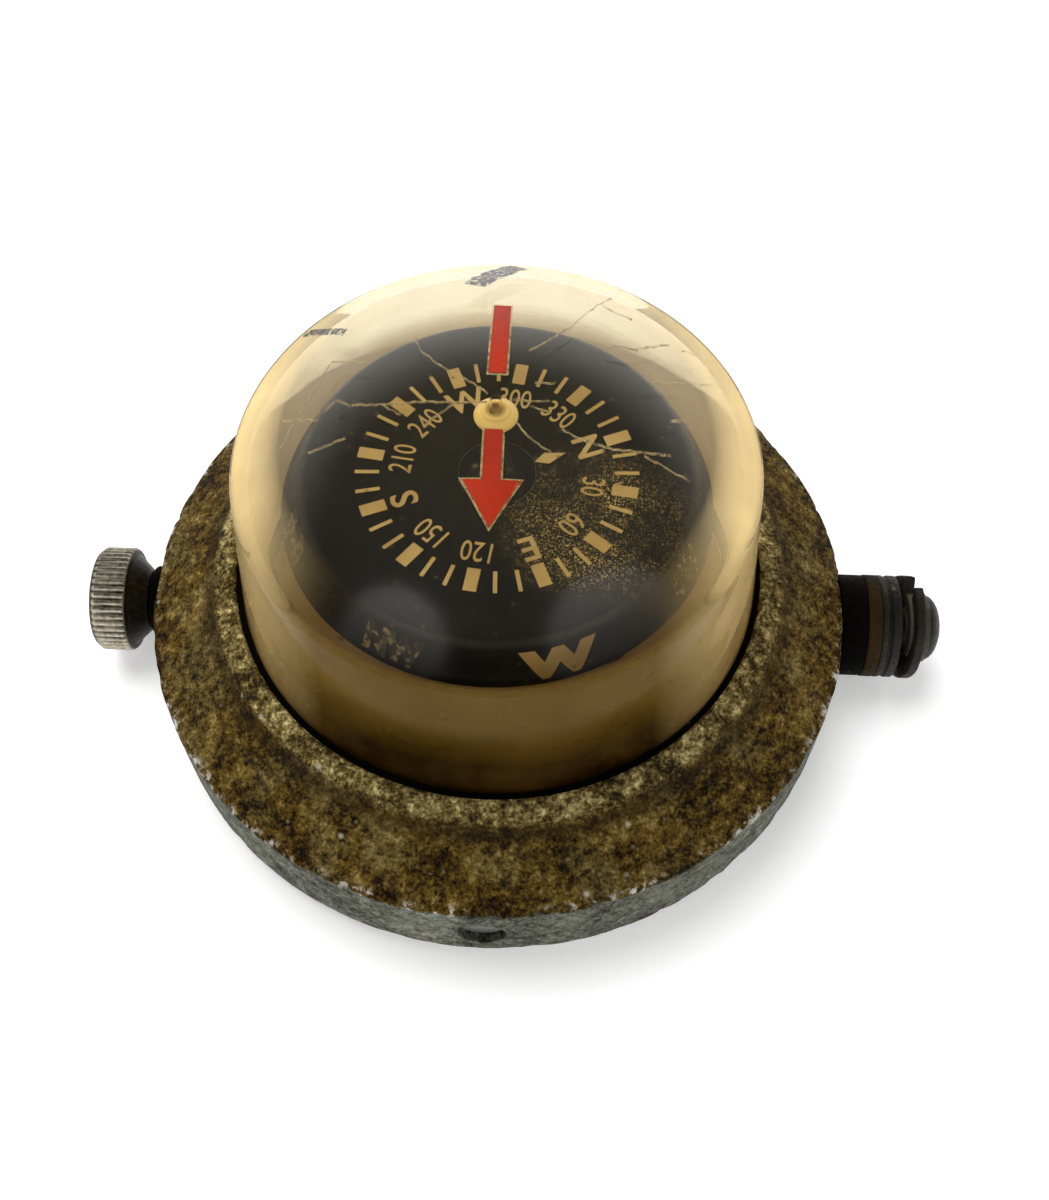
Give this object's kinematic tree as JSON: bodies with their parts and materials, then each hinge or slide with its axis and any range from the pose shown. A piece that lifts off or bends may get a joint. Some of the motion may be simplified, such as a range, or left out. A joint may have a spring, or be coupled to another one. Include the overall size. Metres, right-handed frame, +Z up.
{
  "type": "binnacle compass",
  "caption": "Bracket-mounted marine compass: round cast ring, clear domed cover with lubber arrow, floating card on a pivot, knurled side screw.",
  "frame": {"origin": "centre of the back cover's flat face, on the surface that the compass stands on, on the axis of the ring and dome", "axes": "+Z up along the dome's axis; X along the two bracket pivots, the knurled thumbscrew on -X; the lubber arrow points along -Y"},
  "size_m": [0.1423, 0.114, 0.0673],
  "materials": {
    "cast_metal": "corroded casting, olive-brown grain",
    "clear_acrylic": "clear, yellowed and crazed",
    "red_paint": "satin",
    "cream_plastic": "satin",
    "black_rubber": "matt",
    "bowl_paint": "satin, stained",
    "plated_steel": "satin",
    "brass": "dull",
    "fibre": "matt",
    "hard_steel": "polished",
    "jewel": "polished",
    "card_black": "satin black",
    "float_plastic": "satin",
    "magnet_steel": "dull",
    "cover_metal": "dull",
    "knob_metal": "worn plating",
    "dark_steel": "dark, rusted",
    "card_print": "aged cream ink"
  },
  "bodies": {
    "housing": {"base_ring": "cast_metal", "dome": "clear_acrylic", "arrow_inlay": "red_paint", "crown_boss": "cream_plastic", "dome_gasket": "black_rubber", "bowl": "bowl_paint", "bowl_seal": "black_rubber", "clamp_ring": "plated_steel", "clamp_screws": "plated_steel", "diaphragm": "brass", "diaphragm_ring": "brass", "filler_plug": "brass", "filler_seal": "fibre", "pivot_post": "brass", "pivot_pin": "hard_steel", "compensator_strap": "brass", "strap_screws": "plated_steel", "back_cover": "cover_metal", "cover_screws": "plated_steel", "pivot_bush": "black_rubber", "fibre_washer": "fibre", "steel_washer": "dark_steel", "spring_washer": "dark_steel", "pivot_screw": "dark_steel"},
    "jewel": {"jewel": "jewel"},
    "jewel_cup": {"jewel_cup": "brass"},
    "card": {"card": "card_black", "float_hub": "float_plastic", "magnet_cradle": "brass", "card_retainer": "brass", "magnet_left": "magnet_steel", "magnet_right": "magnet_steel"},
    "compensator_ns": {"compensator_shaft_ns": "brass", "compensator_magnet_ns": "magnet_steel"},
    "compensator_ew": {"compensator_shaft_ew": "brass", "compensator_magnet_ew": "magnet_steel"},
    "thumb_washer": {"thumb_washer": "black_rubber"},
    "thumbscrew": {"thumbscrew": "knob_metal"}
  },
  "joints": [
    {"name": "card_heel", "type": "hinge", "parent": "housing", "child": "jewel", "pos_m": [0, 0, 0.0465], "axis": [0, 1, 0], "range_deg": [-8, 8]},
    {"name": "card_pitch", "type": "hinge", "parent": "jewel", "child": "jewel_cup", "pos_m": [0, 0, 0.0465], "axis": [1, 0, 0], "range_deg": [-8, 8]},
    {"name": "card_spin", "type": "hinge", "parent": "jewel_cup", "child": "card", "pos_m": [0, 0, 0.0465], "axis": [0, 0, 1], "continuous": true},
    {"name": "thumbscrew_travel", "type": "slide", "parent": "housing", "child": "thumb_washer", "axis": [-1, 0, 0], "range_m": [0, 0.0063]},
    {"name": "thumbscrew_turn", "type": "hinge", "parent": "thumb_washer", "child": "thumbscrew", "pos_m": [-0.0586, 0, 0.0104], "axis": [1, 0, 0], "range_deg": [0, 1800]},
    {"name": "compensator_ns_turn", "type": "hinge", "parent": "housing", "child": "compensator_ns", "pos_m": [0, -0.04, 0.0104], "axis": [0, -1, 0], "continuous": true},
    {"name": "compensator_ew_turn", "type": "hinge", "parent": "housing", "child": "compensator_ew", "pos_m": [0.04, 0.022, 0.0104], "axis": [1, 0, 0], "continuous": true}
  ],
  "couplings": [
    {"joint": "thumbscrew_turn", "follows": "thumbscrew_travel", "rad_per_m": 4947.4}
  ]
}
